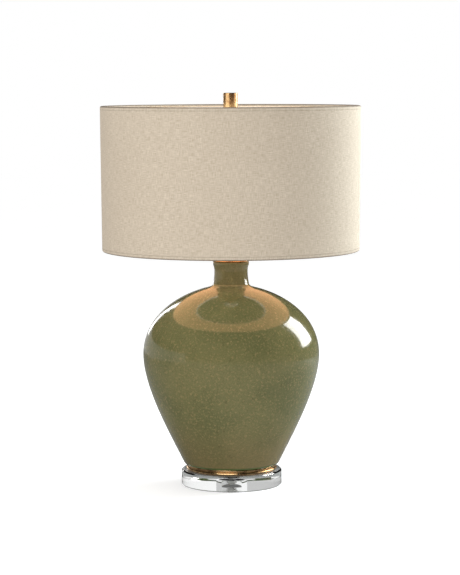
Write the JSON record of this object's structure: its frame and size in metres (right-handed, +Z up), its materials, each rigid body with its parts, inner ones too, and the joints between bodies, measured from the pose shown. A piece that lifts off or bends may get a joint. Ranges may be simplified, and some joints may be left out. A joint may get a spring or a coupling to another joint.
{
  "type": "table lamp",
  "caption": "Ginger jar table lamp: glazed ceramic vase on a beaded brass ring and a clear crystal foot, with a linen drum shade on a detachable harp.",
  "frame": {"origin": "centre of the crystal foot's underside, on the table", "axes": "+Z up along the centre pipe, -Y is the front with the switch knob, +X to the right as seen from the front, along the harp"},
  "size_m": [0.4572, 0.4572, 0.6922],
  "materials": {
    "clear_crystal": "polished clear crystal with bevelled edges",
    "zinc_steel": "zinc-plated steel",
    "antique_brass": "antiqued, brushed and lacquered brass",
    "plated_brass": "bright brass plate",
    "olive_crackle_glaze": "glossy mottled olive glaze with fine crackle",
    "black_plastic": "moulded, satin",
    "beige_linen": "plain-weave linen with slubs",
    "white_styrene": "translucent white sheet",
    "sleeve_board": "pressed insulating board",
    "nickel_brass": "nickelled contact brass",
    "frosted_glass": "inside-frosted",
    "mount_glass": "clear lead-free glass",
    "black_glass": "black vitrite",
    "cap_aluminium": "drawn, bright",
    "filament_metal": "dull drawn wire"
  },
  "bodies": {
    "root": {"crystal_foot": "clear_crystal", "foot_washer": "zinc_steel", "foot_lock_washer": "zinc_steel", "foot_nut": "zinc_steel", "base_ring": "antique_brass", "vase": "olive_crackle_glaze", "cord_bushing": "black_plastic", "centre_pipe": "zinc_steel", "vase_cap": "antique_brass", "neck_spacer": "antique_brass", "harp_saddle": "plated_brass", "saddle_nut": "zinc_steel", "harp": "plated_brass", "harp_stud": "plated_brass", "socket_cap": "plated_brass", "socket_set_screw": "zinc_steel", "socket_shell": "plated_brass", "socket_liner": "sleeve_board", "socket_body": "black_plastic", "terminal_screws": "plated_brass", "screw_shell": "nickel_brass", "centre_contact": "nickel_brass"},
    "shade": {"shade_fabric": "beige_linen", "shade_liner": "white_styrene", "shade_top_ring": "plated_brass", "shade_bottom_ring": "plated_brass", "spider": "plated_brass"},
    "finial_insert": {"finial_insert": "plated_brass"},
    "finial": {"finial": "antique_brass"},
    "bulb_contact": {"bulb_contact": "nickel_brass"},
    "bulb": {"bulb_glass": "frosted_glass", "bulb_stem": "mount_glass", "bulb_filament": "filament_metal", "bulb_base": "cap_aluminium", "bulb_insulator": "black_glass"},
    "switch": {"switch_stem": "plated_brass", "switch_knob": "black_plastic"},
    "ferrule_left": {"harp_ferrule_left": "plated_brass"},
    "ferrule_right": {"harp_ferrule_right": "plated_brass"}
  },
  "joints": [
    {"name": "shade_turn", "type": "hinge", "parent": "root", "child": "shade", "pos_m": [0, 0, 0.653], "axis": [0, 0, 1], "continuous": true},
    {"name": "finial_rise", "type": "slide", "parent": "root", "child": "finial_insert", "axis": [0, 0, 1], "range_m": [0, 0.0095]},
    {"name": "finial_turn", "type": "hinge", "parent": "finial_insert", "child": "finial", "pos_m": [0, 0, 0.66], "axis": [0, 0, 1], "range_deg": [0, 3600]},
    {"name": "bulb_rise", "type": "slide", "parent": "root", "child": "bulb_contact", "axis": [0, 0, 1], "range_m": [0, 0.0219]},
    {"name": "bulb_turn", "type": "hinge", "parent": "bulb_contact", "child": "bulb", "pos_m": [0, 0, 0.49], "axis": [0, 0, 1], "range_deg": [0, 2160]},
    {"name": "switch_turn", "type": "hinge", "parent": "root", "child": "switch", "pos_m": [0, -0.02, 0.4584], "axis": [0, -1, 0], "continuous": true},
    {"name": "ferrule_left_slide", "type": "slide", "parent": "root", "child": "ferrule_left", "axis": [0, 0, 1], "range_m": [0, 0.014]},
    {"name": "ferrule_right_slide", "type": "slide", "parent": "root", "child": "ferrule_right", "axis": [0, 0, 1], "range_m": [0, 0.014]}
  ],
  "couplings": [
    {"joint": "finial_rise", "follows": "finial_turn", "m_per_rad": 0.00014972},
    {"joint": "bulb_rise", "follows": "bulb_turn", "m_per_rad": 0.0005775}
  ]
}
